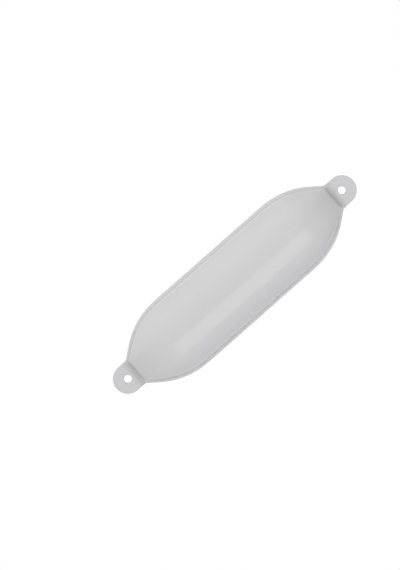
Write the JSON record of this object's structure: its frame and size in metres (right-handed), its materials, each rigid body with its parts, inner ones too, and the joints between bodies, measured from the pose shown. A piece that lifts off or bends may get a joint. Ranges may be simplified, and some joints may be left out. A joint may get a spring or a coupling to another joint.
{
  "type": "boat fender",
  "caption": "Round-bodied small-boat fender with domed ends, a flat eye at each end and a raised mould seam all round, moulded in one piece of glossy soft plastic.",
  "frame": {"origin": "centre of the upper eye's hole, half-way through the eye's thickness", "axes": "+Z along the fender's long axis, up as it hangs from the upper eye; X lies in the plane of the seam and of both eyes; Y runs along the holes, through the body's thickness"},
  "size_m": [0.117, 0.1086, 0.4499],
  "materials": {
    "vinyl": "glossy pale grey-white soft PVC, faintly uneven as blow-moulded"
  },
  "bodies": {
    "root": {"fender": "vinyl"}
  },
  "joints": []
}
